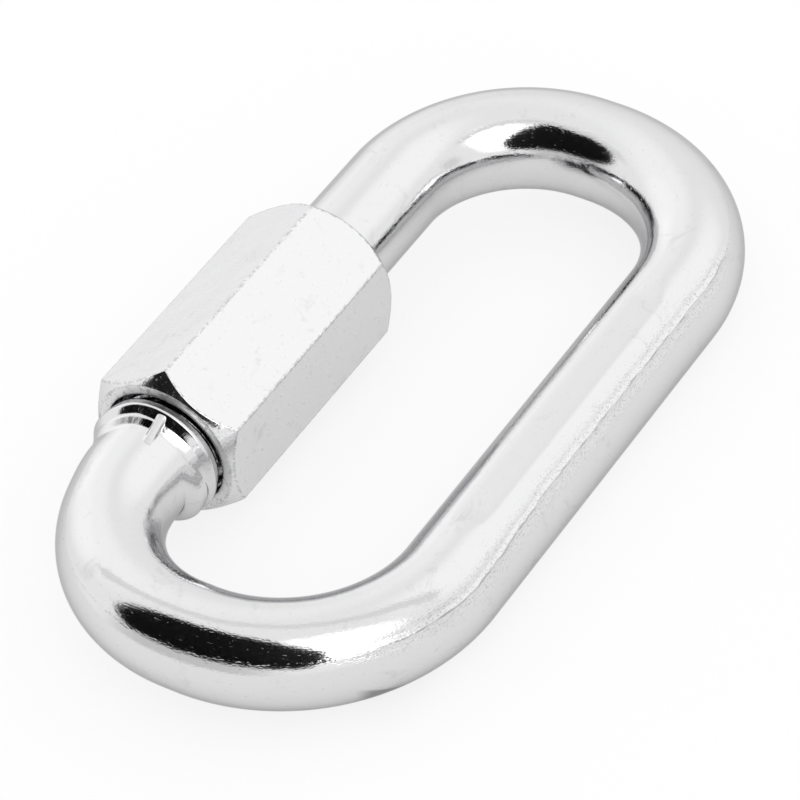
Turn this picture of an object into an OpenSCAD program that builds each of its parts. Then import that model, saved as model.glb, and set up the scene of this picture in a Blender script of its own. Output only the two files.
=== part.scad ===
// Quick link: an oval link bent from round bar, closed by a long hexagonal sleeve nut.
// The nut covers the opening between the two threaded bar ends.
// Lies on its spine and on one corner edge of the nut. X is the long axis, +Z is up, sizes in mm.

/* [Link] */
// Diameter of the bar
rod_d = 12.7; // [11:0.1:14]
// Distance between the centre lines of the spine and the gate arm
arm_spacing = 40.8; // [39.5:0.1:60]
// Length of the straight part of the spine
spine_len = 52.5; // [49:0.1:62]
// Centre line radius of the bends next to the spine
spine_bend_r = 21; // [17:0.1:22.4]
// Centre line radius of the bends next to the gate arm
gate_bend_r = 18.2; // [15:0.1:19.6]
// Depth of the pressed flat on the upper side of the spine
flat_depth = 0.3; // [0.1:0.05:0.8]
// Length of the pressed flat
flat_len = 44; // [20:1:50]

/* [Threaded ends] */
// Distance between neighbouring thread crests
pitch = 2.3; // [1.8:0.1:2.5]
// Height of the thread ridge above its root
thread_depth = 1.3; // [0.8:0.05:1.4]
// Step from the bar up to the thread root
root_step = 0.2; // [0.1:0.05:0.3]
// Width of the flat on the thread crest
crest_w = 0.3; // [0.2:0.05:0.5]
// Width of the flat at the thread root
root_w = 0.5; // [0.2:0.05:0.6]
// Height of the chamfer on each bar end
tip_chamfer = 0.9; // [0.5:0.1:1.5]
// Distance from the middle of the link back to the seat end tip
seat_tip_x = 16.8; // [16:0.1:18]
// Distance from the middle of the link back to the carrier end tip
carrier_tip_x = 2.2; // [1:0.1:3]
// Length of the seat end thread
seat_thread_len = 6.6; // [6:0.1:7]
// Length of the carrier end thread
carrier_thread_len = 12.4; // [10:0.1:15]
// Turn of the helix about the arm, which both ends share
thread_turn = 222; // [0:1:359]
// Distance from the middle of the link back to the collar behind the seat end thread
collar_x = 24.2; // [23.9:0.1:24.6]
// Length of the land between the collar and the nut
collar_land = 1.1; // [0.5:0.05:1.2]
// Length of the slope from the collar down to the bar
collar_slope = 2.2; // [1:0.1:3]
// Distance from the middle of the link back to the bulge behind the collar
bulge_x = 25.9; // [25.4:0.1:26.4]
// Distance from the axis of the arm to the middle of the bulge
bulge_shift = 1.45; // [0.8:0.05:1.6]
// Width of the parting rib behind the collar
rib_w = 1.3; // [0.8:0.1:2]
// Distance from the middle of the link back to the outer end of the rib
rib_x = 28.4; // [27:0.1:29]
// Step from the collar down to the top of the rib
rib_drop = 0.1; // [0.05:0.05:0.6]

/* [Sleeve nut] */
// Width across the flats
nut_af = 19.05; // [18.6:0.05:24]
// Length of the nut
nut_len = 36.1; // [35:0.1:38]
// Distance from the middle of the link back to the middle of the nut
nut_back = 4.85; // [4:0.05:5.5]
// Diameter of the flat ring at each end of the nut
nut_face_d = 18.4; // [17.8:0.1:18.8]
// Angle of the end chamfers from the end face
nut_chamfer_angle = 45; // [25:1:50]
// Depth of the countersink at each end of the bore
bore_sink = 0.1; // [0.05:0.05:0.5]
// Radial clearance between the thread crest and the bore of the nut
crest_clear = 0.08; // [0.05:0.01:0.1]
// Distance the nut has moved along the arm from closed
nut_travel = 0; // [0:0.1:20.7]

/* [Hidden] */
$fn = 96;
thread_segs = 40;
rod_r = rod_d / 2;
root_r = rod_r + root_step;
crest_r = root_r + thread_depth;
bore_r = crest_r + crest_clear;
corner_r = nut_af / sqrt(3);
tip_r = root_r - tip_chamfer;
// The link leans until the spine and the lowest nut corner touch the ground together.
lean = atan(corner_r / arm_spacing) - asin(rod_r / sqrt(pow(arm_spacing, 2) + pow(corner_r, 2)));
rest_z = rod_r + sin(lean) * arm_spacing / 2;
gate_side = corner_r * cos(30 - lean);
rest_y = (rod_r - gate_side) / 2;
gate_half = spine_len / 2 + spine_bend_r - gate_bend_r;
end_len = arm_spacing - spine_bend_r - gate_bend_r;
rib_angle = 103;
bulge_angle = 235;
// Ridge section of the thread: offsets along the axis and heights of its four corners.
flank_w = (pitch - crest_w - root_w) / 2;
ridge_x = [0, flank_w, flank_w + crest_w, 2 * flank_w + crest_w];
ridge_h = [0, 1, 1, 0];
// Both ends carry one continuous right-hand helix, so the nut meets the seat end in mesh.
crest_mid = flank_w + crest_w / 2;
tip_lead = tip_chamfer + 0.15;
helix_offset = seat_tip_x - carrier_tip_x + 2 * (tip_lead + crest_mid) + pitch / 2;
seat_turn = 360 * helix_offset / pitch - thread_turn;

zinc = [0.80, 0.81, 0.82];
zinc_nut = [0.86, 0.86, 0.87];

// Places a shape from the flat link frame into the resting pose.
module at_rest() {
  translate([0, rest_y, rest_z])
    rotate([lean, 0, 0])
      children();
}

// Bar along +X from x0 for a length.
module bar_x(x0, y, length, radius) {
  translate([x0, y, 0])
    rotate([0, 90, 0])
      cylinder(h = length, r = radius);
}

module bend(x, y, radius, start) {
  translate([x, y, 0])
    rotate([0, 0, start])
      rotate_extrude(angle = 90)
        translate([radius, 0])
          circle(r = rod_r);
}

// One end of the link: two bends with a short straight between them.
module bow(side) {
  mirror([side < 0 ? 1 : 0, 0, 0]) {
    bend(spine_len / 2, spine_bend_r - arm_spacing / 2, spine_bend_r, -90);
    translate([spine_len / 2 + spine_bend_r, spine_bend_r - arm_spacing / 2, 0])
      rotate([-90, 0, 0])
        cylinder(h = end_len, r = rod_r);
    bend(gate_half, arm_spacing / 2 - gate_bend_r, gate_bend_r, 0);
  }
}

// Straight spine with the pressed flat on its upper side.
module spine() {
  difference() {
    bar_x(-spine_len / 2, -arm_spacing / 2, spine_len, rod_r);
    translate([-flat_len / 2, -arm_spacing / 2 - rod_r, rod_r - flat_depth])
      cube([flat_len, rod_d, rod_r]);
  }
}

function ring_pt(x, r, n) = [x, r * cos(n * 360 / thread_segs), r * sin(n * 360 / thread_segs)];
function fade(n, total) = min(1, n / (thread_segs / 4), (total - n) / (thread_segs / 4));
function ridge_pt(x0, n, c, total) =
  ring_pt(x0 + pitch * n / thread_segs + ridge_x[c],
          root_r + thread_depth * ridge_h[c] * fade(n, total), n);

// Threaded end as one closed solid along +X: chamfered tip, a ridge that runs out at both ends,
// and a root that sinks into the bar behind it.
module threaded_end(length) {
  segs = thread_segs;
  run = length - tip_lead - 2 * flank_w - crest_w - 0.15;
  total = floor(run / pitch * segs);
  first = segs * 2;
  last = first + 4 * (total + 1);
  points = concat(
    [for (j = [0:segs - 1]) ring_pt(0, tip_r, j)],
    [for (j = [0:segs - 1]) ring_pt(tip_chamfer, root_r, j)],
    [for (n = [0:total], c = [0:3]) ridge_pt(tip_lead, n, c, total)],
    [for (j = [0:segs - 1]) ring_pt(length, rod_r - 0.05, total + j)]
  );
  faces = concat(
    [[for (j = [0:segs - 1]) j]],
    [for (j = [0:segs - 1]) [j, segs + j, (j + 1) % segs]],
    [for (j = [0:segs - 1]) [segs + j, segs + (j + 1) % segs, (j + 1) % segs]],
    [for (j = [0:segs - 2]) [segs + j, first + 4 * j, segs + j + 1]],
    [for (j = [0:segs - 2]) [segs + j + 1, first + 4 * j, first + 4 * (j + 1)]],
    [[2 * segs - 1, first, segs]],
    [for (c = [0:2]) [2 * segs - 1, first + c + 1, first + c]],
    [[2 * segs - 1, first + 4 * segs, first + 3]],
    [[2 * segs - 1, first + 4 * (segs - 1), first + 4 * segs]],
    [for (n = [0:total - 1], c = [0:2])
      [first + 4 * n + c, first + 4 * n + c + 1, first + 4 * (n + 1) + c + 1]],
    [for (n = [0:total - 1], c = [0:2])
      [first + 4 * n + c, first + 4 * (n + 1) + c + 1, first + 4 * (n + 1) + c]],
    [for (n = [0:total - segs - 1])
      [first + 4 * n + 3, first + 4 * (n + segs), first + 4 * (n + segs + 1)]],
    [for (n = [0:total - segs - 1])
      [first + 4 * n + 3, first + 4 * (n + segs + 1), first + 4 * (n + 1) + 3]],
    [for (j = [1:segs - 1])
      [first + 4 * (total - segs + j) + 3, last + j, last + (j + 1) % segs]],
    [for (j = [1:segs - 1])
      [first + 4 * (total - segs + j) + 3, last + (j + 1) % segs, first + 4 * (total - segs + j + 1) + 3]],
    [[last + 1, first + 4 * (total - segs) + 3, first + 4 * total]],
    [for (c = [0:2]) [last + 1, first + 4 * total + c, first + 4 * total + c + 1]],
    [[last + 1, first + 4 * total + 3, last]],
    [[last + 1, first + 4 * (total - segs + 1) + 3, first + 4 * (total - segs) + 3]],
    [[for (j = [segs - 1:-1:0]) last + j]]
  );
  polyhedron(points = points, faces = faces, convexity = 8);
}

// Collar that ends the seat end thread: a land on one side, a hollow slope on the other.
module collar() {
  drop = crest_r - rod_r;
  translate([-collar_x, arm_spacing / 2, 0])
    rotate([0, -90, 0])
      rotate_extrude()
        polygon([
          [rod_r - 1, -collar_land - 0.5],
          [root_r, -collar_land - 0.5],
          [crest_r - drop * 0.23, -collar_land],
          [crest_r, -crest_w / 2],
          [crest_r, crest_w / 2],
          [crest_r - drop * 0.6, collar_slope * 0.38],
          [crest_r - drop * 0.85, collar_slope * 0.7],
          [rod_r - 0.05, collar_slope],
          [rod_r - 1, collar_slope]
        ]);
}

// Bulge that the forming dies pressed out under the collar: a thin disc set off the axis of the arm.
module bulge() {
  side = 0.9;
  translate([-bulge_x, arm_spacing / 2, 0])
    rotate([bulge_angle, 0, 0])
      translate([0, bulge_shift, 0])
        rotate([0, -90, 0])
          rotate_extrude()
            polygon([
              [0, -crest_w - side],
              [rod_r - 0.7, -crest_w - side],
              [rod_r + 0.25, -crest_w],
              [rod_r + 0.25, crest_w],
              [rod_r - 0.7, crest_w + side],
              [0, crest_w + side]
            ]);
}

// Narrow rib left where the forming dies met: it slopes from the collar down to the bar.
module parting_rib() {
  translate([-rib_x, arm_spacing / 2, 0])
    rotate([rib_angle, 0, 0])
      translate([0, 0, -rib_w / 2])
        linear_extrude(rib_w)
          polygon([
            [0, rod_r - 1],
            [0, rod_r - 0.05],
            [rib_x - collar_x - crest_w / 2, crest_r - rib_drop],
            [rib_x - collar_x, crest_r - rib_drop],
            [rib_x - collar_x, rod_r - 1]
          ]);
}

module link_body() {
  color(zinc)
    at_rest()
      union() {
        spine();
        bow(1);
        bow(-1);
        bar_x(-gate_half, arm_spacing / 2, gate_half - seat_tip_x - 2 * tip_chamfer, rod_r);
        translate([-seat_tip_x, arm_spacing / 2, 0])
          rotate([seat_turn, 0, 180])
            threaded_end(seat_thread_len);
        collar();
        bulge();
        parting_rib();
        bar_x(2 * tip_chamfer - carrier_tip_x, arm_spacing / 2,
              gate_half + carrier_tip_x - 2 * tip_chamfer, rod_r);
        translate([-carrier_tip_x, arm_spacing / 2, 0])
          rotate([thread_turn, 0, 0])
            threaded_end(carrier_thread_len);
      }
}

// Turned outline of the nut: a cylinder with a cone at each end.
module nut_turned() {
  cone_h = (corner_r + 1 - nut_face_d / 2) * tan(nut_chamfer_angle);
  rotate_extrude()
    polygon([
      [0, 0],
      [nut_face_d / 2, 0],
      [corner_r + 1, cone_h],
      [corner_r + 1, nut_len - cone_h],
      [nut_face_d / 2, nut_len],
      [0, nut_len]
    ]);
}

module nut_bore() {
  translate([0, 0, -1])
    cylinder(h = nut_len + 2, r = bore_r);
  translate([0, 0, -1])
    cylinder(h = 1 + bore_sink, r1 = bore_r + bore_sink + 1, r2 = bore_r);
  translate([0, 0, nut_len - bore_sink])
    cylinder(h = 1 + bore_sink, r1 = bore_r, r2 = bore_r + bore_sink + 1);
}

module sleeve_nut() {
  color(zinc_nut)
    at_rest()
      translate([nut_travel - nut_back - nut_len / 2, arm_spacing / 2, 0])
        rotate([0, 90, 0])
          difference() {
            intersection() {
              cylinder(h = nut_len, r = corner_r, $fn = 6);
              nut_turned();
            }
            nut_bore();
          }
}

link_body();
sleeve_nut();
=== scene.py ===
"""Quick link: zinc plated bar and sleeve nut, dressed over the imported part."""

import math

import bmesh
import bpy
from mathutils import Matrix, Vector


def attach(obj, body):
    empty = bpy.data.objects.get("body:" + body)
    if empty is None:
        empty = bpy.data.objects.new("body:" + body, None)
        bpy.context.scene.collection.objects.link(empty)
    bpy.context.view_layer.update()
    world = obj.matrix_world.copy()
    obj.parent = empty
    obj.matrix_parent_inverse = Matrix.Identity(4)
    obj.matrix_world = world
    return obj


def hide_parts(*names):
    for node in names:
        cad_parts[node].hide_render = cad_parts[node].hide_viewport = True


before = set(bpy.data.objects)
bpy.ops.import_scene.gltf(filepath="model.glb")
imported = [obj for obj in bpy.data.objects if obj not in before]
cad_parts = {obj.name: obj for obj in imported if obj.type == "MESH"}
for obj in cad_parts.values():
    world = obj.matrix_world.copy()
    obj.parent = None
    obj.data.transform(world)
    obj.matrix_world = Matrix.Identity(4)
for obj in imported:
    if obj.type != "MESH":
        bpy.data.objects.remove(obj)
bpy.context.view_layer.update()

# Shapes are in millimetres, in the flat frame of the link: X along the arms, Y from the spine to
# the gate arm, Z up. Angles round the gate arm start at its outer side and rise towards Z.
MM = 0.001
# Places closer than this are one place.
SAME_PLACE = 0.001

# The bent bar.
BAR_R = 6.35
ARM_SPACING = 40.8
SPINE_LEN = 52.5
SPINE_BEND_R = 21.0
GATE_BEND_R = 18.2
GATE_HALF = SPINE_LEN / 2 + SPINE_BEND_R - GATE_BEND_R
END_LEN = ARM_SPACING - SPINE_BEND_R - GATE_BEND_R
GATE_Y = ARM_SPACING / 2
# How far the forms of the gate arm reach into the bend, and the spare beside the spine for its flat.
FORMED_BEND = 8
SPINE_SPARE = 0.5

# The pressed flat on the spine.
FLAT_DEPTH = 0.3
FLAT_LEN = 44.0
FLAT_REACH = FLAT_LEN / 2 + 1
FLAT_RAMP = 3.0
FLAT_SOFTNESS = 0.07

# The threads on both ends. ROOT_FADE says how far before the carrier thread's end its root begins to
# come down to the bar, and over what length.
PITCH = 2.3
THREAD_DEPTH = 1.3
ROOT_R = BAR_R + 0.2
ROOT_FADE = (1.6, 1.4)
CREST_R = ROOT_R + THREAD_DEPTH
CREST_W = 0.3
ROOT_W = 0.5
FLANK_W = (PITCH - CREST_W - ROOT_W) / 2
RUN_OUT = PITCH / 4
TIP_CHAMFER = 0.9
THREAD_GAP = 0.15
THREAD_MARGIN = 0.5
SEAT_TIP_X = 16.8
SEAT_THREAD_LEN = 6.6
CARRIER_TIP_X = 2.2
CARRIER_THREAD_LEN = 12.4
OPENING_X = -10

# Both ends follow one helix; this is where its crest crosses the outer side of the arm.
THREAD_TURN = math.radians(222)
CREST_LEAD = TIP_CHAMFER + THREAD_GAP + FLANK_W + CREST_W / 2
HELIX_START = -CARRIER_TIP_X + CREST_LEAD - PITCH * THREAD_TURN / math.tau

# The collar that ends the seat end thread: its land on one side, its slope on the other.
COLLAR_X = -24.2
COLLAR_SPAN = 2.6
COLLAR_LAND = 0.85
COLLAR_LAND_DROP = 0.1
COLLAR_LAND_EDGE = 0.35
COLLAR_SWELL = 0.3
SWELL_WIDTH = math.radians(45)
LOBE_REACH = 1.35

# Height of the collar over the bar, from its crest to the bar, on the two sides of the rib.
SHELF_PROFILE = ((0.0, 1.0), (0.86, 0.44), (1.1, 0.41), (1.95, 0.03), (2.3, 0.0))
HOLLOW_PROFILE = ((0.0, 1.0), (0.75, 0.42), (1.6, 0.09), (2.0, 0.0))

# The side where the dies pressed more metal out, so that the collar flares.
FLARE_ANGLE = math.radians(14)
FLARE_WIDTH = math.radians(48)
FLARE_SHIFT = 1.5
FLARE_SWELL = 0.22
FLARE_SPREAD = 0.3
FLARE_BAR = 0.26
FLARE_END = -34.0
FLARE_FADE = 5

# The bulge under the collar: how far round and along it fades.
BULGE_X = -25.9
BULGE_SHIFT = 1.45
BULGE_ANGLE = math.radians(235)
BULGE_R = BAR_R + 0.25
BULGE_TURN = 1.6
BULGE_TURN_FADE = 0.9
BULGE_SLOPE = 2.2
BULGE_FILLET = 0.15

# The rib behind the collar: its two sides, and the foot that widens them at the collar.
RIB_X = -28.4
RIB_ANGLE = math.radians(101.5)
RIB_TWIST = math.radians(-0.8)
RIB_HALF_W = 0.42
RIB_NEAR_SIDE = 0.55
RIB_FAR_SIDE = 0.35
RIB_FOOT = 0.6
RIB_FOOT_LEN = 0.45
RIB_DROP = 0.12
RIB_CURVE = 1.05

# Grease in the grooves with painted shade, darker the deeper the groove, and where it begins and ends along
# the two threads; inside the nut's mouth it is painted shade only.
GREASE_AND_SHADE = 0.85
GREASE_AND_SHADE_TIP = 1.0
GREASE_AND_SHADE_TIP_FADE = 0.5
GREASE_AND_SHADE_END_X = 9.4
GREASE_AND_SHADE_END_FADE = 0.8
MOUTH_SHADE_FADE = 0.3
# Painted shade on the collar's lower slope beside the rib: its strength, where it begins and ends behind the
# crest, how it fades in round the arm, and at the rib.
SLOPE_SHADE = 0.8
SLOPE_SHADE_START = (1.25, 0.15)
SLOPE_SHADE_STOP = (2.35, 0.3)
SLOPE_SHADE_TURN = (20, 55)
SLOPE_SHADE_RIB_FADE = 0.07

# The seam where the two dies met: its ends, its place round the bar in degrees, and its ridge and hollow.
SEAM_HEIGHT = 0.15
SEAM_FAINTEST = 0.01
SEAM_REACH = 3.0
SEAM_ENDS = (-47.0, 35.0)
SEAM_FADE = 9
SEAM_ANGLE = 44
SEAM_DROP = 8
SEAM_DROP_PATH = (-8, 24)
SEAM_WANDER = ((0.5, 0.9, 0), (0.35, 2.3, 1))
SEAM_RIDGE_W = 0.24
SEAM_HOLLOW = 0.6
SEAM_HOLLOW_SHIFT = 0.55
SEAM_HOLLOW_W = 0.4

# The sleeve nut.
NUT_AF = 19.05
NUT_LEN = 36.1
NUT_BACK = 4.85
NUT_FACE_R = 9.2
NUT_SINK = 0.1
NUT_SPARE = 1
NUT_CORNER_SOFTNESS = 0.16
NUT_EDGE_SOFTNESS = 0.09
NUT_SHARP = math.radians(28)
NUT_SEGMENTS = 192
BORE_R = CREST_R + 0.08
CORNER_R = NUT_AF / math.sqrt(3)

# The link leans until its spine and the lowest nut corner touch the floor.
LEAN = math.atan(CORNER_R / ARM_SPACING) - math.asin(BAR_R / math.hypot(ARM_SPACING, CORNER_R))
REST_Z = BAR_R + math.sin(LEAN) * ARM_SPACING / 2
REST_Y = (BAR_R - CORNER_R * math.cos(math.pi / 6 - LEAN)) / 2
REST = Matrix.Scale(MM, 4) @ Matrix.Translation((0, REST_Y, REST_Z)) @ Matrix.Rotation(LEAN, 4, "X")

# Fineness of the bar's mesh.
RING_SEGMENTS = 160
RING_CROWDING = 0.55
FINE_STEP = 0.1
ARM_STEPS = 12
END_STEPS = 2
SPINE_STEPS = 64
GATE_BEND_STEPS = 40
SPINE_BEND_STEPS = 44
# The bend behind the collar is swept in two parts, the last one finer: quarter turns and steps.
SEAT_BEND_PARTS = ((-0.94, 36), (-0.06, 12))


def clamp01(value):
    return max(0.0, min(1.0, value))


def smooth01(value):
    value = clamp01(value)
    return value * value * (3 - 2 * value)


def toward(azimuth, elevation):
    """Direction that points at an azimuth and elevation, both in degrees."""
    azimuth, elevation = math.radians(azimuth), math.radians(elevation)
    return Vector((math.cos(elevation) * math.cos(azimuth), math.cos(elevation) * math.sin(azimuth),
                   math.sin(elevation)))


def object_from(bm, name):
    mesh = bpy.data.meshes.new(name)
    bm.to_mesh(mesh)
    bm.free()
    made = bpy.data.objects.new(name, mesh)
    bpy.context.scene.collection.objects.link(made)
    return made


# Sweeping the bar.
def ring_only(grown):
    return [part for part in grown["geom_last"] if isinstance(part, (bmesh.types.BMVert, bmesh.types.BMEdge))]


def grow_straight(bm, ring, shift, steps):
    """Pulls the ring of edges along a straight line, in even steps."""
    step = Vector(shift) / steps
    return ring_only(bmesh.ops.spin(bm, geom=ring, cent=(0, 0, 0), axis=(1, 0, 0), dvec=step, angle=0,
                                    steps=steps))


def grow_bend(bm, ring, centre, quarter_turns, steps):
    """Swings the ring about a vertical axis through centre."""
    return ring_only(bmesh.ops.spin(bm, geom=ring, cent=(*centre, 0), axis=(0, 0, 1), dvec=(0, 0, 0),
                                    angle=quarter_turns * math.pi / 2, steps=steps))


# Forms of the threaded ends, as a radius at a place along the gate arm and an angle round it.
def ridge_height(along, angle, first, last):
    """Height of the thread ridge over its root; it runs out at both ends."""
    turn = (along - HELIX_START) / PITCH - angle / math.tau
    offset = (turn - round(turn)) * PITCH
    centre = along - offset
    profile = 1 - smooth01((abs(offset) - CREST_W / 2) / FLANK_W)
    run_out = clamp01((centre - first[0]) / first[1]) * clamp01((last[0] - centre) / last[1])
    return THREAD_DEPTH * profile * run_out


def around(angle, middle):
    """Angle between two directions round the arm, from 0 to half a turn."""
    return abs((angle - middle + math.pi) % math.tau - math.pi)


def lobe(angle, middle, width):
    """From 1 near one direction round the arm to 0 on both sides of it."""
    return smooth01(LOBE_REACH - around(angle, middle) / width)


def steps_between(value, places):
    """Straight lines through a short list of (place, height) pairs."""
    for (start, low), (end, high) in zip(places, places[1:]):
        if value < end:
            return low + (high - low) * clamp01((value - start) / (end - start))
    return places[-1][1]


def flare_at(angle):
    return lobe(angle, FLARE_ANGLE, FLARE_WIDTH)


def plain_radius(along, angle):
    """The bar behind the collar, with the low swelling that fades into the bend."""
    return BAR_R + FLARE_BAR * flare_at(angle) * smooth01((along - FLARE_END) / FLARE_FADE)


def collar_radius(along, angle):
    """The collar that ends the seat end thread: a land on one side, a stepped slope on the other."""
    flare = flare_at(angle)
    swell = COLLAR_SWELL * lobe(angle, BULGE_ANGLE, SWELL_WIDTH) + FLARE_SWELL * flare
    crest = COLLAR_X - FLARE_SHIFT * flare
    edge = COLLAR_X + COLLAR_LAND
    if along > crest:
        reach = clamp01((along - crest - CREST_W / 2) / (edge - crest - CREST_W / 2))
        land = CREST_R + swell - (COLLAR_LAND_DROP + swell) * reach
        return land - (THREAD_DEPTH - COLLAR_LAND_DROP) * smooth01((along - edge) / COLLAR_LAND_EDGE)
    behind = (crest - CREST_W / 2 - along) / (1 + FLARE_SPREAD * flare)
    plain = plain_radius(along, angle)
    profile = SHELF_PROFILE if angle < RIB_ANGLE else HOLLOW_PROFILE
    return plain + (CREST_R + swell - plain) * steps_between(behind, profile)


def painted_shade_on_slope(along, angle):
    """Painted shade on the lower slope of the collar, beside the rib."""
    behind = COLLAR_X - FLARE_SHIFT * flare_at(angle) - along
    band = smooth01((behind - SLOPE_SHADE_START[0]) / SLOPE_SHADE_START[1])
    band *= smooth01((SLOPE_SHADE_STOP[0] - behind) / SLOPE_SHADE_STOP[1])
    round_arm = smooth01((math.degrees(angle) - SLOPE_SHADE_TURN[0]) / SLOPE_SHADE_TURN[1])
    return SLOPE_SHADE * band * round_arm * smooth01((RIB_ANGLE - angle) / SLOPE_SHADE_RIB_FADE)


def bulge_radius(along, angle):
    """The bulge that the dies pressed out under the collar: a disc set off the axis of the arm."""
    turn = around(angle, BULGE_ANGLE)
    reach = BULGE_SHIFT * math.cos(turn) + math.sqrt(BULGE_R ** 2 - (BULGE_SHIFT * math.sin(turn)) ** 2)
    lift = (reach - BAR_R) * smooth01((BULGE_TURN - turn) / BULGE_TURN_FADE)
    return BAR_R + lift * (1 - smooth01((abs(along - BULGE_X) - CREST_W) / BULGE_SLOPE))


def blend_up(first, second):
    """The larger of two radii, with a small fillet where they cross."""
    top = max(first, second)
    fillet = BULGE_FILLET * math.log(1 + math.exp(-abs(first - second) / BULGE_FILLET))
    return top + fillet * clamp01(top - BAR_R)


def threaded_radius(along, angle, tip, length, side):
    """Radius of a threaded end; side is +1 where the tip faces -X."""
    from_tip = (along - tip) * side
    near_tip = (tip + side * CREST_LEAD, RUN_OUT)
    far_end = (tip + side * (length - FLANK_W - CREST_W / 2 - THREAD_GAP), RUN_OUT)
    if side > 0:
        ridge = ridge_height(along, angle, near_tip, far_end)
    else:
        ridge = ridge_height(along, angle, far_end, near_tip)
    chamfer = TIP_CHAMFER * (1 - math.sqrt(clamp01(1 - (1 - clamp01(from_tip / TIP_CHAMFER)) ** 2)))
    root = ROOT_R
    if side > 0:
        root += (BAR_R - ROOT_R) * smooth01((from_tip - length + ROOT_FADE[0]) / ROOT_FADE[1])
    elif along < COLLAR_X + COLLAR_LAND + THREAD_MARGIN:
        return blend_up(collar_radius(along, angle), bulge_radius(along, angle))
    return root - chamfer + ridge


def rib_radius(along, angle):
    """The low rib that the forming dies left: it slopes from the collar down to the bar."""
    middle = RIB_ANGLE + RIB_TWIST * (along - COLLAR_X)
    across = (angle - middle) * CREST_R
    side = RIB_NEAR_SIDE if across < 0 else RIB_FAR_SIDE
    side += RIB_FOOT * math.exp(min(along - COLLAR_X, 0.0) / RIB_FOOT_LEN)
    width = 1 - smooth01((abs(across) - RIB_HALF_W) / side)
    rise = clamp01((along - RIB_X) / (COLLAR_X - CREST_W / 2 - RIB_X))
    stop = 1 - smooth01((along - COLLAR_X) / CREST_W)
    return BAR_R + (CREST_R - RIB_DROP - BAR_R) * rise ** RIB_CURVE * width * stop


# Grease with painted shade: darker the deeper a place lies below the crest.
def grease_and_shade_in(radius):
    return GREASE_AND_SHADE * clamp01((CREST_R - radius) / THREAD_DEPTH)


def shape_gate_arm(place):
    """Forms a place on the plain gate arm: thread, chamfer and rib. Returns it with its grease and painted
    shade.
    """
    x, y, z = place
    along = x
    radius = math.hypot(z, y - GATE_Y)
    angle = math.atan2(z, y - GATE_Y)
    turn = 0.0
    if x < -GATE_HALF:
        turn = math.atan2(-GATE_HALF - x, y - GATE_Y + GATE_BEND_R)
        outward = math.hypot(x + GATE_HALF, y - GATE_Y + GATE_BEND_R) - GATE_BEND_R
        along = -GATE_HALF - GATE_BEND_R * turn
        radius = math.hypot(z, outward)
        angle = math.atan2(z, outward)
    formed = radius
    grease_and_shade = 0.0
    if along < -SEAT_TIP_X + SAME_PLACE:
        formed = threaded_radius(along, angle, -SEAT_TIP_X, SEAT_THREAD_LEN, -1)
        grease_and_shade = grease_and_shade_in(formed) * smooth01((-SEAT_TIP_X - GREASE_AND_SHADE_TIP - along) / GREASE_AND_SHADE_TIP_FADE)
        # Near the collar the grease gives way to painted shade: full over the gap inside the nut's mouth past
        # the land, and the slope's painted shade behind the collar.
        if along < COLLAR_X + COLLAR_SPAN:
            land_end = COLLAR_X + COLLAR_LAND
            grease_and_shade = max(smooth01((along - land_end) / MOUTH_SHADE_FADE), painted_shade_on_slope(along, angle))
        formed = max(formed, rib_radius(along, angle))
    elif along < -CARRIER_TIP_X + CARRIER_THREAD_LEN:
        formed = threaded_radius(along, angle, -CARRIER_TIP_X, CARRIER_THREAD_LEN, 1)
        grease_and_shade = grease_and_shade_in(formed) * smooth01((GREASE_AND_SHADE_END_X - along) / GREASE_AND_SHADE_END_FADE)
        grease_and_shade *= smooth01((along + CARRIER_TIP_X - GREASE_AND_SHADE_TIP) / GREASE_AND_SHADE_TIP_FADE)
    z = formed * math.sin(angle)
    outward = formed * math.cos(angle)
    if turn:
        reach = GATE_BEND_R + outward
        bent = Vector((-GATE_HALF - reach * math.sin(turn), GATE_Y - GATE_BEND_R + reach * math.cos(turn), z))
        return bent, grease_and_shade
    return Vector((x, GATE_Y + outward, z)), grease_and_shade


# Forms of the spine.
def press_flat(place):
    """Flattens the upper side of the spine a little, as the press left it, with soft borders."""
    x, y, z = place
    top = BAR_R - FLAT_DEPTH * smooth01((FLAT_REACH - abs(x)) / FLAT_RAMP)
    return Vector((x, y, top - FLAT_SOFTNESS * math.log(1 + math.exp((top - z) / FLAT_SOFTNESS))))


def across_seam(path, angle):
    """Distance from the middle of the seam round the bar, and how strong the seam is there.

    The seam wanders a little, and drops towards the seat end. Angles are in degrees here."""
    middle = SEAM_ANGLE - SEAM_DROP * smooth01((SEAM_DROP_PATH[0] - path) / SEAM_DROP_PATH[1])
    for size, rate, start in SEAM_WANDER:
        middle += size * math.sin(path * rate + start)
    strength = smooth01((path - SEAM_ENDS[0]) / SEAM_FADE) * smooth01((SEAM_ENDS[1] - path) / SEAM_FADE)
    return math.radians(angle - middle) * BAR_R, strength


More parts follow.
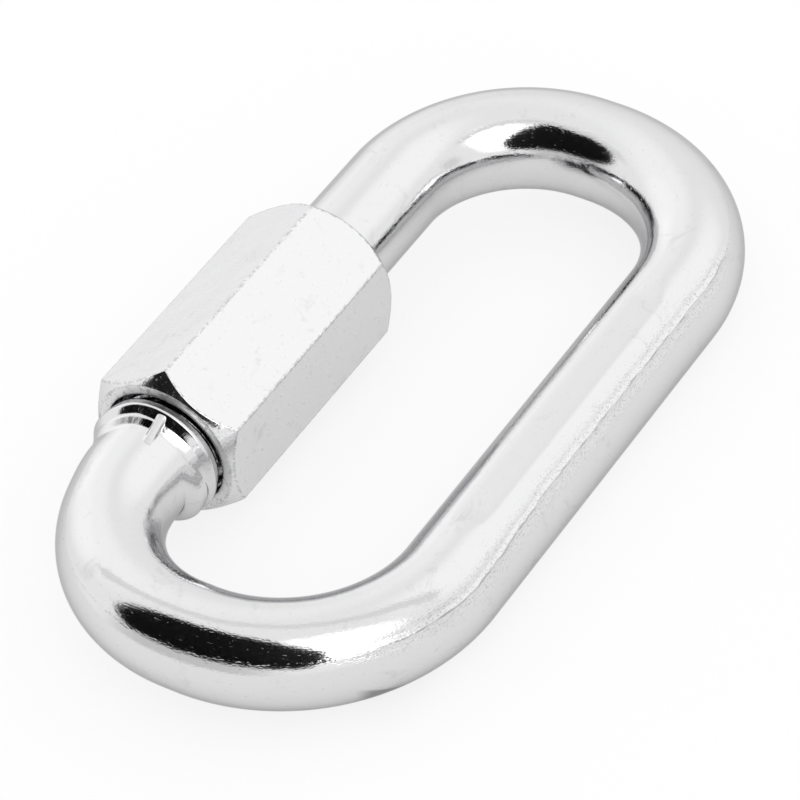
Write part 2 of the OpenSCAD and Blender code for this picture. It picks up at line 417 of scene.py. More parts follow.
def straightened(place):
    """Where a place would lie if the bar were pulled straight: along it, outward and upward."""
    x, y, z = place
    end = -1 if x < (OPENING_X if y > 0 else 0) else 1
    side = x * end
    first_bend = SPINE_LEN / 2 + SPINE_BEND_R * math.pi / 2
    if y > GATE_Y - GATE_BEND_R:
        past, reach = side - GATE_HALF, y - GATE_Y + GATE_BEND_R
        if past > 0:
            path = first_bend + END_LEN + GATE_BEND_R * math.atan2(reach, past)
            outward = math.hypot(past, reach) - GATE_BEND_R
        else:
            path = first_bend + END_LEN + GATE_BEND_R * math.pi / 2 - past
            outward = y - GATE_Y
    elif y > SPINE_BEND_R - GATE_Y:
        path = first_bend + y - SPINE_BEND_R + GATE_Y
        outward = side - SPINE_LEN / 2 - SPINE_BEND_R
    else:
        past, reach = side - SPINE_LEN / 2, SPINE_BEND_R - GATE_Y - y
        if past > 0:
            path = SPINE_LEN / 2 + SPINE_BEND_R * math.atan2(past, reach)
            outward = math.hypot(past, reach) - SPINE_BEND_R
        else:
            path = side
            outward = -GATE_Y - y
    return Vector((path * end, outward, z))


def seam_lift(across):
    ridge = math.exp(-(across / SEAM_RIDGE_W) ** 2)
    hollow = math.exp(-((across - SEAM_HOLLOW_SHIFT) / SEAM_HOLLOW_W) ** 2)
    return SEAM_HEIGHT * (ridge - SEAM_HOLLOW * hollow)


def raise_seam(place):
    """The long seam on the outer side of the spine, where the two dies met: a low ridge by a hollow."""
    x, y, z = place
    turn = 0.0
    outward = -GATE_Y - y
    path = x
    if abs(x) > SPINE_LEN / 2:
        turn = math.atan2(abs(x) - SPINE_LEN / 2, SPINE_BEND_R - GATE_Y - y)
        outward = math.hypot(abs(x) - SPINE_LEN / 2, SPINE_BEND_R - GATE_Y - y) - SPINE_BEND_R
        path = math.copysign(SPINE_LEN / 2 + SPINE_BEND_R * turn, x)
    across, strength = across_seam(path, math.degrees(math.atan2(z, outward)))
    scale = 1 + seam_lift(across) * strength / BAR_R
    outward *= scale
    if turn:
        reach = SPINE_BEND_R + outward
        return Vector((math.copysign(SPINE_LEN / 2 + reach * math.sin(turn), x),
                       SPINE_BEND_R - GATE_Y - reach * math.cos(turn), z * scale))
    return Vector((x, -GATE_Y - outward, z * scale))


def crowd_ring(angle):
    """Draws the points of the ring together at the rib, where the shape is finest."""
    return angle - RING_CROWDING * math.sin(angle - RIB_ANGLE)


def sweep_bar(bm):
    """Sweeps a ring from the carrier tip, round both bends of each bow and the spine, to the seat tip."""
    place = Matrix.Translation((-CARRIER_TIP_X, GATE_Y, 0)) @ Matrix.Rotation(math.pi / 2, 4, "Y")
    ring = bmesh.ops.create_circle(bm, segments=RING_SEGMENTS, radius=BAR_R, cap_ends=True, matrix=place)
    ring = ring["verts"]
    for vert in ring:
        angle = crowd_ring(math.atan2(vert.co.z, vert.co.y - GATE_Y))
        vert.co.y = GATE_Y + BAR_R * math.cos(angle)
        vert.co.z = BAR_R * math.sin(angle)
    ring = list(ring) + list(bm.edges)
    ring = grow_straight(bm, ring, (CARRIER_THREAD_LEN, 0, 0), round(CARRIER_THREAD_LEN / FINE_STEP))
    ring = grow_straight(bm, ring, (GATE_HALF + CARRIER_TIP_X - CARRIER_THREAD_LEN, 0, 0), ARM_STEPS)
    ring = grow_bend(bm, ring, (GATE_HALF, GATE_Y - GATE_BEND_R), -1, GATE_BEND_STEPS)
    ring = grow_straight(bm, ring, (0, -END_LEN, 0), END_STEPS)
    ring = grow_bend(bm, ring, (SPINE_LEN / 2, SPINE_BEND_R - GATE_Y), -1, SPINE_BEND_STEPS)
    ring = grow_straight(bm, ring, (-SPINE_LEN, 0, 0), SPINE_STEPS)
    ring = grow_bend(bm, ring, (-SPINE_LEN / 2, SPINE_BEND_R - GATE_Y), -1, SPINE_BEND_STEPS)
    ring = grow_straight(bm, ring, (0, END_LEN, 0), END_STEPS)
    for quarter_turns, steps in SEAT_BEND_PARTS:
        ring = grow_bend(bm, ring, (-GATE_HALF, GATE_Y - GATE_BEND_R), quarter_turns, steps)
    seat_len = GATE_HALF - SEAT_TIP_X
    ring = grow_straight(bm, ring, (seat_len, 0, 0), round(seat_len / FINE_STEP))
    bmesh.ops.edgeloop_fill(bm, edges=[part for part in ring if isinstance(part, bmesh.types.BMEdge)])


def build_bar():
    """The swept bar with its forms, and what its material reads at each vertex.

    Groove is the grease and painted shade, seam the distance across the seam, and drawn the straightened
    place."""
    bm = bmesh.new()
    sweep_bar(bm)
    grooves = bm.verts.layers.float.new("groove")
    seams = bm.verts.layers.float.new("seam")
    drawn = bm.verts.layers.float_vector.new("drawn")
    for vert in bm.verts:
        along, outward, up = straightened(vert.co)
        across, strength = across_seam(along, math.degrees(math.atan2(up, outward)))
        vert[seams] = max(-SEAM_REACH, min(SEAM_REACH, across / max(strength, SEAM_FAINTEST)))
        vert[drawn] = Vector((along, outward, up)) * MM
        if vert.co.y > GATE_Y - GATE_BEND_R and -GATE_HALF - FORMED_BEND < vert.co.x < GATE_HALF:
            vert.co, vert[grooves] = shape_gate_arm(vert.co)
        elif vert.co.y < SPINE_BEND_R - GATE_Y and vert.co.z > 0:
            vert.co = raise_seam(vert.co)
            if vert.co.y < BAR_R - GATE_Y + SPINE_SPARE and abs(vert.co.x) < FLAT_REACH:
                vert.co = press_flat(vert.co)
    bmesh.ops.recalc_face_normals(bm, faces=bm.faces)
    return bm


def finished_piece(bm, name, material, body, node):
    """Puts a piece at its resting place, gives it its material and ties it to its body."""
    bm.transform(REST)
    for face in bm.faces:
        face.smooth = True
    piece = object_from(bm, name)
    piece.data.materials.append(material)
    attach(piece, body)
    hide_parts(node)
    return piece


# The hexagonal sleeve nut: a hexagonal blank cut by a turned body with a cone at each end.
def hexagonal_blank(stand):
    bm = bmesh.new()
    bmesh.ops.create_cone(bm, cap_ends=True, segments=6, radius1=CORNER_R, radius2=CORNER_R, depth=NUT_LEN)
    bmesh.ops.transform(bm, verts=bm.verts, matrix=Matrix.Rotation(math.pi / 6, 4, "Z"))
    long_edges = [edge for edge in bm.edges if abs(edge.verts[0].co.z - edge.verts[1].co.z) > NUT_LEN / 2]
    bmesh.ops.bevel(bm, geom=long_edges, affect="EDGES", offset=NUT_CORNER_SOFTNESS, segments=3,
                    profile=0.5, material=-1)
    bmesh.ops.transform(bm, verts=bm.verts, matrix=stand)
    return object_from(bm, "nut_blank")


def turned_body(stand):
    bm = bmesh.new()
    half = NUT_LEN / 2
    wide = CORNER_R + NUT_SPARE
    cone = wide - NUT_FACE_R
    outline = [(BORE_R, -half + NUT_SINK), (BORE_R + NUT_SINK, -half), (NUT_FACE_R, -half),
               (wide, -half + cone), (wide, half - cone), (NUT_FACE_R, half),
               (BORE_R + NUT_SINK, half), (BORE_R, half - NUT_SINK)]
    verts = [bm.verts.new((radius, 0, along)) for radius, along in outline]
    edges = [bm.edges.new((verts[i - 1], verts[i])) for i in range(len(verts))]
    bmesh.ops.spin(bm, geom=verts + edges, cent=(0, 0, 0), axis=(0, 0, 1), dvec=(0, 0, 0),
                   angle=math.tau, steps=NUT_SEGMENTS, use_merge=True)
    bmesh.ops.remove_doubles(bm, verts=bm.verts, dist=SAME_PLACE / 2)
    bmesh.ops.recalc_face_normals(bm, faces=bm.faces)
    bmesh.ops.transform(bm, verts=bm.verts, matrix=stand)
    return object_from(bm, "nut_lathe")


def build_nut():
    stand = Matrix.Translation((-NUT_BACK, GATE_Y, 0)) @ Matrix.Rotation(math.pi / 2, 4, "Y")
    blank = hexagonal_blank(stand)
    lathe = turned_body(stand)
    cut = blank.modifiers.new("turned", "BOOLEAN")
    cut.operation = "INTERSECT"
    cut.solver = "EXACT"
    cut.object = lathe
    bpy.context.view_layer.update()
    shaped = bpy.data.meshes.new_from_object(blank.evaluated_get(bpy.context.evaluated_depsgraph_get()))
    bm = bmesh.new()
    bm.from_mesh(shaped)
    for used in (blank, lathe):
        bpy.data.objects.remove(used)
    bmesh.ops.remove_doubles(bm, verts=bm.verts, dist=SAME_PLACE)
    sharp = [edge for edge in bm.edges if len(edge.link_faces) == 2 and edge.calc_face_angle() > NUT_SHARP]
    bmesh.ops.bevel(bm, geom=sharp, affect="EDGES", offset=NUT_EDGE_SOFTNESS, segments=2, profile=0.5,
                    material=-1, clamp_overlap=True)
    return bm


# Nodes. An input is either a plain value or the socket that feeds it.
def feed(tree, socket, value):
    if isinstance(value, bpy.types.NodeSocket):
        tree.links.new(value, socket)
    else:
        socket.default_value = value


def add_node(tree, kind, inputs=None, **settings):
    made = tree.nodes.new(kind)
    for name, value in settings.items():
        setattr(made, name, value)
    for name, value in (inputs or {}).items():
        feed(tree, made.inputs[name], value)
    return made


def new_group(name, inputs, outputs):
    """A shader node group with named sockets. Returns its tree and the nodes that lead in and out."""
    tree = bpy.data.node_groups.new(name, "ShaderNodeTree")
    for socket, kind in inputs:
        tree.interface.new_socket(name=socket, in_out="INPUT", socket_type="NodeSocket" + kind)
    for socket, kind in outputs:
        tree.interface.new_socket(name=socket, in_out="OUTPUT", socket_type="NodeSocket" + kind)
    return tree, tree.nodes.new("NodeGroupInput"), tree.nodes.new("NodeGroupOutput")


def place_group(tree, group, inputs):
    return add_node(tree, "ShaderNodeGroup", inputs, node_tree=group)


def read_attribute(tree, name, output="Fac"):
    return add_node(tree, "ShaderNodeAttribute", attribute_name=name).outputs[output]


def noise(tree, place, per_metre, detail, **settings):
    """Noise of about so many grains a metre; settings are its other sockets."""
    inputs = {"Vector": place, "Scale": per_metre, "Detail": detail, **settings}
    return add_node(tree, "ShaderNodeTexNoise", inputs).outputs["Fac"]


def map_range(tree, value, low, high, to_low=0.0, to_high=1.0, smooth=True):
    made = add_node(tree, "ShaderNodeMapRange", {"Value": value, "From Min": low, "From Max": high,
                                                 "To Min": to_low, "To Max": to_high})
    made.interpolation_type = "SMOOTHSTEP" if smooth else "LINEAR"
    return made.outputs["Result"]


def calculate(tree, operation, first, second=0.0):
    made = add_node(tree, "ShaderNodeMath", {0: first, 1: second}, operation=operation)
    return made.outputs["Value"]


def stretch(tree, place, factors):
    made = add_node(tree, "ShaderNodeVectorMath", {0: place, 1: factors}, operation="MULTIPLY")
    return made.outputs["Vector"]


def blend_colour(tree, factor, first, second):
    made = add_node(tree, "ShaderNodeMix", data_type="RGBA")
    for name, value in (("Factor_Float", factor), ("A_Color", first), ("B_Color", second)):
        feed(tree, next(entry for entry in made.inputs if entry.identifier == name), value)
    return next(entry for entry in made.outputs if entry.identifier == "Result_Color")


def grey(value):
    return value, value, value, 1


# The shared effects. Limits say where a mask goes from 0 to 1.
PIT_LIMITS = (0.62, 0.74)
PIT_SPACING = 0.6
PIT_DEPTH = 0.3
CLOUD_LEVEL = 0.72
CLOUD_SOFTNESS = 0.16
EDGE_LIMITS = (0.998, 0.975)
NICK_LIMITS = (0.46, 0.56)


def make_grain_group():
    """Fine crystal grain of the plating: a height for the bump and a mask of its small pits."""
    tree, start, end = new_group("plating_grain", (("Vector", "Vector"), ("Per Metre", "Float")),
                                 (("Height", "Float"), ("Pits", "Float")))
    place, per_metre = start.outputs["Vector"], start.outputs["Per Metre"]
    fine = noise(tree, place, per_metre, 0.6, Roughness=0.6)
    wider = calculate(tree, "MULTIPLY", per_metre, PIT_SPACING)
    pits = map_range(tree, noise(tree, place, wider, 2.0, Roughness=0.5), *PIT_LIMITS)
    height = calculate(tree, "SUBTRACT", fine, calculate(tree, "MULTIPLY", pits, PIT_DEPTH))
    tree.links.new(height, end.inputs["Height"])
    tree.links.new(pits, end.inputs["Pits"])
    return tree


def make_stain_group():
    """Clouds of duller plating with ragged edges."""
    tree, start, end = new_group("dull_clouds", (("Vector", "Vector"), ("Per Metre", "Float"),
                                                 ("Cover", "Float")), (("Mask", "Float"),))
    cloud = noise(tree, start.outputs["Vector"], start.outputs["Per Metre"], 6.0, Roughness=0.68,
                  Distortion=0.6)
    low = calculate(tree, "SUBTRACT", CLOUD_LEVEL, start.outputs["Cover"])
    high = calculate(tree, "ADD", low, CLOUD_SOFTNESS)
    tree.links.new(map_range(tree, cloud, low, high), end.inputs["Mask"])
    return tree


def make_edge_group():
    """Nicks along the hard edges, broken up so that they read as a dotted line."""
    tree, start, end = new_group("edge_nicks", (("Vector", "Vector"), ("Width", "Float"),
                                                ("Per Metre", "Float")), (("Mask", "Float"),))
    rounded = add_node(tree, "ShaderNodeBevel", {"Radius": start.outputs["Width"]}, samples=6)
    real = tree.nodes.new("ShaderNodeNewGeometry")
    match = add_node(tree, "ShaderNodeVectorMath", {0: rounded.outputs["Normal"], 1: real.outputs["Normal"]},
                     operation="DOT_PRODUCT")
    edge = map_range(tree, match.outputs["Value"], *EDGE_LIMITS)
    dots = noise(tree, start.outputs["Vector"], start.outputs["Per Metre"], 3.0, Roughness=0.7)
    broken = map_range(tree, dots, *NICK_LIMITS)
    tree.links.new(calculate(tree, "MULTIPLY", edge, broken), end.inputs["Mask"])
    return tree


GRAIN = make_grain_group()
CLOUDS = make_stain_group()
NICKS = make_edge_group()

# The plating. Lengths in materials are in metres.
CLEAN_PLATING = (1, 1, 1.008)
DULL_PLATING = (0.9, 0.9, 0.905)
CLOUD_COVER = 0.16
CLOUD_ROUGHNESS = 0.1
PIT_DULLNESS = 0.2
PIT_SHADE = 0.1
FIBRE_STRETCH = (0.4, 1, 1)
WAVES_PER_METRE = 170.0
WAVE_DEPTH = 0.00006
SEAM_ROUGH_BAND = (2.6, 0.8, 1.0, 4.5)
CUT_INSET = (0.00012, 0.00004)
CUT_ROUGHNESS = 0.22
CUT_MARKS = (0.52, 0.66, 0.0, 0.55)
CUT_MARKS_PER_METRE = 1100.0
PATCHES_PER_METRE = 2300.0
PATCH_LIMITS = (0.35, 0.65, 0.4, 1.0)
GREASE_AND_SHADE_LIMITS = (0.45, 0.95)
NICK_WIDTH = 0.00048
NICKS_PER_METRE = 2300.0


def plating_colour(shade, tint):
    return tuple(shade * part for part in tint) + (1,)


def zinc_material(name, shade, roughness, edge_tint, grain_per_metre, grain_depth, cloud_per_metre,
                  on_bar=True):
    """Bright zinc plate: grain in the bump, dull clouds in colour and roughness.

    Returns it with its tree, shader, place, colour so far and mask of pits."""
    material = bpy.data.materials.new(name)
    material.use_nodes = True
    tree = material.node_tree
    shader = tree.nodes["Principled BSDF"]
    shader.inputs["Metallic"].default_value = 1
    shader.inputs["Specular Tint"].default_value = (edge_tint, edge_tint, edge_tint * 1.01, 1)
    place = tree.nodes.new("ShaderNodeTexCoord").outputs["Object"]
    if on_bar:
        place = read_attribute(tree, "drawn", "Vector")
    grain_place = stretch(tree, place, FIBRE_STRETCH if on_bar else (1, 1, 1))
    grain = place_group(tree, GRAIN, {"Vector": grain_place, "Per Metre": grain_per_metre})
    pits = grain.outputs["Pits"]
    clouds = place_group(tree, CLOUDS, {"Vector": place, "Per Metre": cloud_per_metre, "Cover": CLOUD_COVER})
    clouds = clouds.outputs["Mask"]
    colour = blend_colour(tree, clouds, plating_colour(shade, CLEAN_PLATING),
                          plating_colour(shade, DULL_PLATING))
    rough = map_range(tree, clouds, 0.0, 1.0, roughness, roughness + CLOUD_ROUGHNESS)
    if on_bar:
        from_seam = calculate(tree, "ABSOLUTE", read_attribute(tree, "seam"))
        grain_depth = calculate(tree, "MULTIPLY", map_range(tree, from_seam, *SEAM_ROUGH_BAND), grain_depth)
    else:
        rough, colour = mark_cut_faces(tree, place, rough, colour)
    rough = calculate(tree, "ADD", rough, calculate(tree, "MULTIPLY", pits, PIT_DULLNESS))
    waves = noise(tree, place, WAVES_PER_METRE, 2.0)
    rolled = add_node(tree, "ShaderNodeBump", {"Height": waves, "Distance": WAVE_DEPTH, "Strength": 1.0})
    bump = add_node(tree, "ShaderNodeBump", {"Height": grain.outputs["Height"], "Distance": grain_depth,
                                             "Strength": 1.0, "Normal": rolled.outputs["Normal"]})
    tree.links.new(bump.outputs["Normal"], shader.inputs["Normal"])
    tree.links.new(rough, shader.inputs["Roughness"])
    return material, tree, shader, place, colour, pits


def mark_cut_faces(tree, place, rough, colour):
    """Duller end faces on the nut, with the marks of the cut."""
    along = add_node(tree, "ShaderNodeSeparateXYZ", {0: place}).outputs["X"]
    from_middle = calculate(tree, "ABSOLUTE", calculate(tree, "ADD", along, NUT_BACK * MM))
    half = NUT_LEN / 2 * MM
    cut = map_range(tree, from_middle, half - CUT_INSET[0], half - CUT_INSET[1])
    rough = calculate(tree, "ADD", rough, calculate(tree, "MULTIPLY", cut, CUT_ROUGHNESS))
    marks = map_range(tree, noise(tree, place, CUT_MARKS_PER_METRE, 3.0), *CUT_MARKS)
    return rough, blend_colour(tree, calculate(tree, "MULTIPLY", marks, cut), colour, grey(0.3))


def bar_material():
    material, tree, shader, place, colour, pits = zinc_material(
        "bar_zinc", shade=0.72, roughness=0.09, edge_tint=0.62, grain_per_metre=6500.0, grain_depth=0.000008,
        cloud_per_metre=260.0)
    # Grease and painted shade: the groove mask, broken into patches, turns the plating near black.
    groove = read_attribute(tree, "groove")
    patchiness = noise(tree, stretch(tree, place, FIBRE_STRETCH), PATCHES_PER_METRE, 3.0)
    patchiness = map_range(tree, patchiness, *PATCH_LIMITS)
    grease_and_shade_mask = calculate(tree, "MULTIPLY", map_range(tree, groove, *GREASE_AND_SHADE_LIMITS), patchiness)
    colour = blend_colour(tree, grease_and_shade_mask, colour, grey(0.04))
    colour = blend_colour(tree, calculate(tree, "MULTIPLY", pits, PIT_SHADE), colour, grey(0.3))
    colour = blend_colour(tree, seam_line(tree, place), colour, grey(0.2))
    colour = blend_colour(tree, scuff(tree, place), colour, grey(0.3))
    tree.links.new(colour, shader.inputs["Base Color"])
    return material


# The line in the seam, in millimetres across it: its edge, how far it drifts, and its specks.
LINE_EDGE = (0.16, 0.04)
LINE_DRIFT = 0.3
DRIFTS_PER_METRE = 900.0
LINE_GAPS = (0.38, 0.6, 0.25, 0.6)
GAPS_PER_METRE = 420.0
SPECK_LIMITS = (0.5, 0.7, 0.0, 0.3)
SPECK_BAND = (2.4, 0.5)
SPECKS_PER_METRE = 4200.0


def seam_line(tree, place):
    """The dark broken line in the seam, where the plating did not cover the fold."""
    across = read_attribute(tree, "seam")
    drift = calculate(tree, "SUBTRACT", noise(tree, place, DRIFTS_PER_METRE, 4.0), 0.5)
    drift = calculate(tree, "MULTIPLY", drift, LINE_DRIFT)
    line = map_range(tree, calculate(tree, "ABSOLUTE", calculate(tree, "ADD", across, drift)), *LINE_EDGE)
    gaps = map_range(tree, noise(tree, place, GAPS_PER_METRE, 4.0), *LINE_GAPS)
    line = calculate(tree, "MULTIPLY", line, gaps)
    upper = map_range(tree, add_node(tree, "ShaderNodeSeparateXYZ", {0: place}).outputs["Z"], 0.0, 0.001)
    specks = map_range(tree, noise(tree, place, SPECKS_PER_METRE, 1.0), *SPECK_LIMITS)
    near_seam = map_range(tree, calculate(tree, "ABSOLUTE", across), *SPECK_BAND)
    specks = calculate(tree, "MULTIPLY", specks, near_seam)
    return calculate(tree, "MULTIPLY", calculate(tree, "MAXIMUM", line, specks), upper)


# Borders of the scuff on the straightened bar: its two ends, its slanting top and its inner edge.
SCUFF_START = (-0.0425, -0.0405)
SCUFF_STOP = (-0.030, -0.035)
SCUFF_SLANT = 0.55
SCUFF_TOP = (-0.0236, -0.0242)
SCUFF_INNER = (0.002, 0.004)
SCUFF_STRENGTH = 0.85


def scuff(tree, place):
    """A dull scuff low on the outer side of one bow."""
    sides = add_node(tree, "ShaderNodeSeparateXYZ", {0: place}).outputs
    along = calculate(tree, "MULTIPLY", map_range(tree, sides["X"], *SCUFF_START),
                      map_range(tree, sides["X"], *SCUFF_STOP))
    slanted = calculate(tree, "ADD", sides["Z"], calculate(tree, "MULTIPLY", sides["X"], SCUFF_SLANT))
    below = map_range(tree, slanted, *SCUFF_TOP)
    outer = map_range(tree, sides["Y"], *SCUFF_INNER)
    mask = calculate(tree, "MULTIPLY", calculate(tree, "MULTIPLY", along, below), outer)
    return calculate(tree, "MULTIPLY", mask, SCUFF_STRENGTH)


def nut_material():
    material, tree, shader, place, colour, pits = zinc_material(
        "nut_zinc", shade=0.75, roughness=0.15, edge_tint=0.8, grain_per_metre=3400.0, grain_depth=0.000014,
        cloud_per_metre=330.0, on_bar=False)
    nicks = place_group(tree, NICKS, {"Vector": place, "Width": NICK_WIDTH, "Per Metre": NICKS_PER_METRE})
    colour = blend_colour(tree, nicks.outputs["Mask"], colour, grey(0.25))
    colour = blend_colour(tree, calculate(tree, "MULTIPLY", pits, PIT_SHADE), colour, grey(0.35))
    tree.links.new(colour, shader.inputs["Base Color"])
    return material


bar = finished_piece(build_bar(), "bent_bar", bar_material(), "link", "link_body")
nut = finished_piece(build_nut(), "sleeve", nut_material(), "nut", "sleeve_nut")
nut_normals = nut.modifiers.new("weighted", "WEIGHTED_NORMAL")
nut_normals.keep_sharp = True

# The camera stands where the photograph was taken from, in the flat frame of the link.
CAMERA_AZIMUTH = -146.18
CAMERA_ELEVATION = 43.26
CAMERA_ROLL = math.radians(-4.36)
CAMERA_DISTANCE = 549.7
CAMERA_AIM = Vector((-3.08, 0.12, 0))
CAMERA_LENS = 209.8
CAMERA_SENSOR = 36


def rolled_axes(outward, roll):
    """Right and up of a frame that faces outward and is rolled about that direction."""
    level = Vector((0, 0, 1)).cross(outward).normalized()
    right = level * math.cos(roll) + outward.cross(level) * math.sin(roll)
    return right, outward.cross(right)


def place_camera():
    outward = toward(CAMERA_AZIMUTH, CAMERA_ELEVATION)
    spot = CAMERA_AIM + outward * CAMERA_DISTANCE
    turn = Matrix((*rolled_axes(outward, CAMERA_ROLL), outward)).transposed().to_4x4()
    data = bpy.data.cameras.new("camera")
    data.lens = CAMERA_LENS
    data.sensor_width = CAMERA_SENSOR
    data.clip_start = 0.01
    camera = bpy.data.objects.new("camera", data)
    bpy.context.scene.collection.objects.link(camera)
    camera.matrix_world = Matrix.Translation(REST @ spot) @ Matrix.Rotation(LEAN, 4, "X") @ turn
    bpy.context.scene.camera = camera


# The studio, in metres: a pale floor, and a bright tent all round with a dark panel and a grey bar.
FLOOR_HALF = 6
FLOOR_GLOW = 0.8
MIRRORED_GLOW = 0.45


def floor_paper():
    """Pale paper that keeps the shadow; seen straight or mirrored it is lifted towards plain white."""
    material = bpy.data.materials.new("floor_paper")
    material.use_nodes = True
    tree = material.node_tree
    shader = tree.nodes["Principled BSDF"]
    shader.inputs["Base Color"].default_value = grey(0.8)
    shader.inputs["Roughness"].default_value = 0.9
    shader.inputs["Specular IOR Level"].default_value = 0.0
    path = tree.nodes.new("ShaderNodeLightPath").outputs
    mirrored = calculate(tree, "ADD", path["Is Glossy Ray"], path["Is Transmission Ray"])
    mirrored = calculate(tree, "MULTIPLY", calculate(tree, "MINIMUM", mirrored, 1.0), MIRRORED_GLOW)
    direct = calculate(tree, "MULTIPLY", path["Is Camera Ray"], FLOOR_GLOW)
    lift = calculate(tree, "MAXIMUM", direct, mirrored)
    white = add_node(tree, "ShaderNodeEmission", {"Color": grey(1), "Strength": 1.0})
    mix = add_node(tree, "ShaderNodeMixShader", {0: lift, 1: shader.outputs["BSDF"],
                                                 2: white.outputs["Emission"]})
    tree.links.new(mix.outputs["Shader"], tree.nodes["Material Output"].inputs["Surface"])
    return material


def lay_floor():
    bm = bmesh.new()
    bmesh.ops.create_grid(bm, x_segments=1, y_segments=1, size=FLOOR_HALF)
    floor = object_from(bm, "floor")
    floor.data.materials.append(floor_paper())


def show_in_reflections_only(backdrop):
    for ray in ("camera", "diffuse", "shadow"):
        setattr(backdrop, "visible_" + ray, False)


# The dark panel: where it hangs, and the outline of its cloth from -1 to 1 across it.
PANEL_TOWARD = (176.8, 37.2)
PANEL_DISTANCE = 0.80
PANEL_HALF = (0.78, 0.55)
PANEL_SHIFT = 0.07
PANEL_ROLL = math.radians(-32.8)
PANEL_ROUNDING = 4.0
PANEL_RIM = (1.0, 0.81)
PANEL_CORNER_SLOPE = 0.743
PANEL_CORNER = (0.63, 0.43)


def panel_cloth():
    """Black cloth in a rounded frame with one corner cut off, whose rim lets the light through."""
    material = bpy.data.materials.new("panel_cloth")
    material.use_nodes = True
    tree = material.node_tree
    shader = tree.nodes["Principled BSDF"]
    shader.inputs["Base Color"].default_value = grey(0.003)
    shader.inputs["Roughness"].default_value = 1.0
    shader.inputs["Specular IOR Level"].default_value = 0.0
    sides = add_node(tree, "ShaderNodeSeparateXYZ", {0: tree.nodes.new("ShaderNodeTexCoord").outputs["UV"]})
    wide, high = [map_range(tree, sides.outputs[side], 0.0, 1.0, -1.0, 1.0, smooth=False)
                  for side in ("X", "Y")]
    powers = [calculate(tree, "POWER", calculate(tree, "ABSOLUTE", value), PANEL_ROUNDING)
              for value in (wide, high)]
    radius = calculate(tree, "POWER", calculate(tree, "ADD", *powers), 1 / PANEL_ROUNDING)
    past_corner = calculate(tree, "SUBTRACT", calculate(tree, "MULTIPLY", wide, PANEL_CORNER_SLOPE), high)
    cover = calculate(tree, "MULTIPLY", map_range(tree, radius, *PANEL_RIM),
                      map_range(tree, past_corner, *PANEL_CORNER))
    clear = tree.nodes.new("ShaderNodeBsdfTransparent")
    mix = add_node(tree, "ShaderNodeMixShader", {0: cover, 1: clear.outputs["BSDF"],
                                                 2: shader.outputs["BSDF"]})
    tree.links.new(mix.outputs["Shader"], tree.nodes["Material Output"].inputs["Surface"])
    return material


def hang_panel():
    """A dark panel near the camera, which only reflections show."""
    outward = toward(*PANEL_TOWARD)
    wide, high = rolled_axes(outward, PANEL_ROLL)
    turn = Matrix((wide, high, outward)).transposed().to_4x4()
    bm = bmesh.new()
    bmesh.ops.create_grid(bm, x_segments=1, y_segments=1, size=1)
    cloth = bm.loops.layers.uv.new("cloth")
    for face in bm.faces:
        for corner in face.loops:
            corner[cloth].uv = ((corner.vert.co.x + 1) / 2, (corner.vert.co.y + 1) / 2)
    bmesh.ops.scale(bm, verts=bm.verts, vec=(*PANEL_HALF, 1))
    spot = outward * PANEL_DISTANCE + wide * PANEL_SHIFT
    bmesh.ops.transform(bm, verts=bm.verts, matrix=Matrix.Translation(spot) @ turn)
    panel = object_from(bm, "dark_panel")
    panel.data.materials.append(panel_cloth())
    show_in_reflections_only(panel)


ROOF_BAR_HALF = (0.016, 0.22)
ROOF_BAR_SPOT = Vector((-0.008, 0.0, 0.21))
ROOF_BAR_TURN = math.radians(16)
ROOF_BAR_SHADE = 0.9


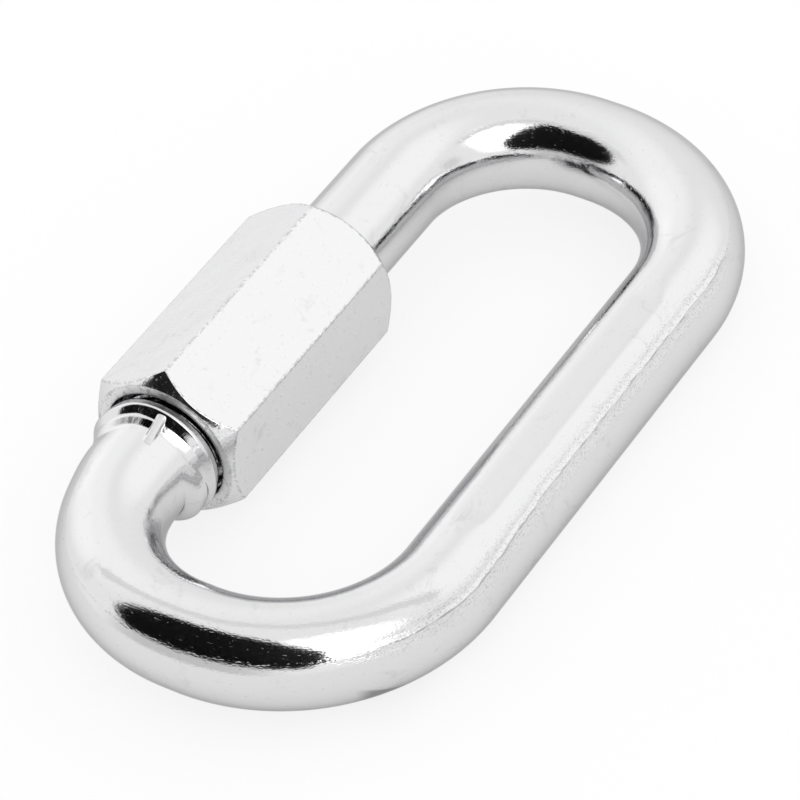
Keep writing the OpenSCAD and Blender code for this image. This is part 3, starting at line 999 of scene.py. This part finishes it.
def hang_roof_bar():
    """A grey bar that crosses the roof of the tent, which only reflections show."""
    bm = bmesh.new()
    bmesh.ops.create_grid(bm, x_segments=1, y_segments=1, size=1)
    bmesh.ops.scale(bm, verts=bm.verts, vec=(*ROOF_BAR_HALF, 1))
    turn = Matrix.Translation(ROOF_BAR_SPOT) @ Matrix.Rotation(ROOF_BAR_TURN, 4, "Z")
    bmesh.ops.transform(bm, verts=bm.verts, matrix=turn)
    roof_bar = object_from(bm, "roof_bar")
    material = bpy.data.materials.new("bar_cloth")
    material.use_nodes = True
    tree = material.node_tree
    glow = add_node(tree, "ShaderNodeEmission", {"Color": grey(1), "Strength": ROOF_BAR_SHADE})
    tree.links.new(glow.outputs["Emission"], tree.nodes["Material Output"].inputs["Surface"])
    roof_bar.data.materials.append(material)
    show_in_reflections_only(roof_bar)


def make_sky_group():
    """A soft round patch of the tent around one direction. Inner and Outer are cosines."""
    tree, start, end = new_group("tent_patch", (("Direction", "Vector"), ("Toward", "Vector"),
                                                ("Inner", "Float"), ("Outer", "Float")), (("Mask", "Float"),))
    match = add_node(tree, "ShaderNodeVectorMath", operation="DOT_PRODUCT",
                     inputs={0: start.outputs["Direction"], 1: start.outputs["Toward"]})
    mask = map_range(tree, match.outputs["Value"], start.outputs["Outer"], start.outputs["Inner"])
    tree.links.new(mask, end.inputs["Mask"])
    return tree


# Brightness of the tent, then its patches: azimuth, elevation, inner and outer radius in degrees, change.
TENT_BASE = 1.07
TENT_PATCHES = (
    (-35, 42, 14, 34, 0.16),
    (72, 26, 8, 24, 0.06),
    (66, 40, 12, 36, 0.13),
    (52, 3, 14, 30, 0.13),
    (-82, 9, 3, 13, -0.22),
    (165, 4, 12, 45, -0.36),
    (-125, 46, 16, 29, 1.0),
    (-127, 30, 10, 24, 0.8),
)


def light_tent():
    world = bpy.data.worlds.new("tent")
    bpy.context.scene.world = world
    world.use_nodes = True
    tree = world.node_tree
    group = make_sky_group()
    direction = tree.nodes.new("ShaderNodeTexCoord").outputs["Generated"]
    strength = TENT_BASE
    for azimuth, elevation, inner, outer, change in TENT_PATCHES:
        patch = place_group(tree, group, {"Direction": direction, "Toward": toward(azimuth, elevation),
                                          "Inner": math.cos(math.radians(inner)),
                                          "Outer": math.cos(math.radians(outer))})
        change = calculate(tree, "MULTIPLY", patch.outputs["Mask"], change)
        strength = calculate(tree, "ADD", strength, change)
    tree.links.new(strength, tree.nodes["Background"].inputs["Strength"])
    tree.nodes["Background"].inputs["Color"].default_value = grey(1)


place_camera()
lay_floor()
hang_panel()
hang_roof_bar()
light_tent()
bpy.context.scene.view_settings.view_transform = "Standard"
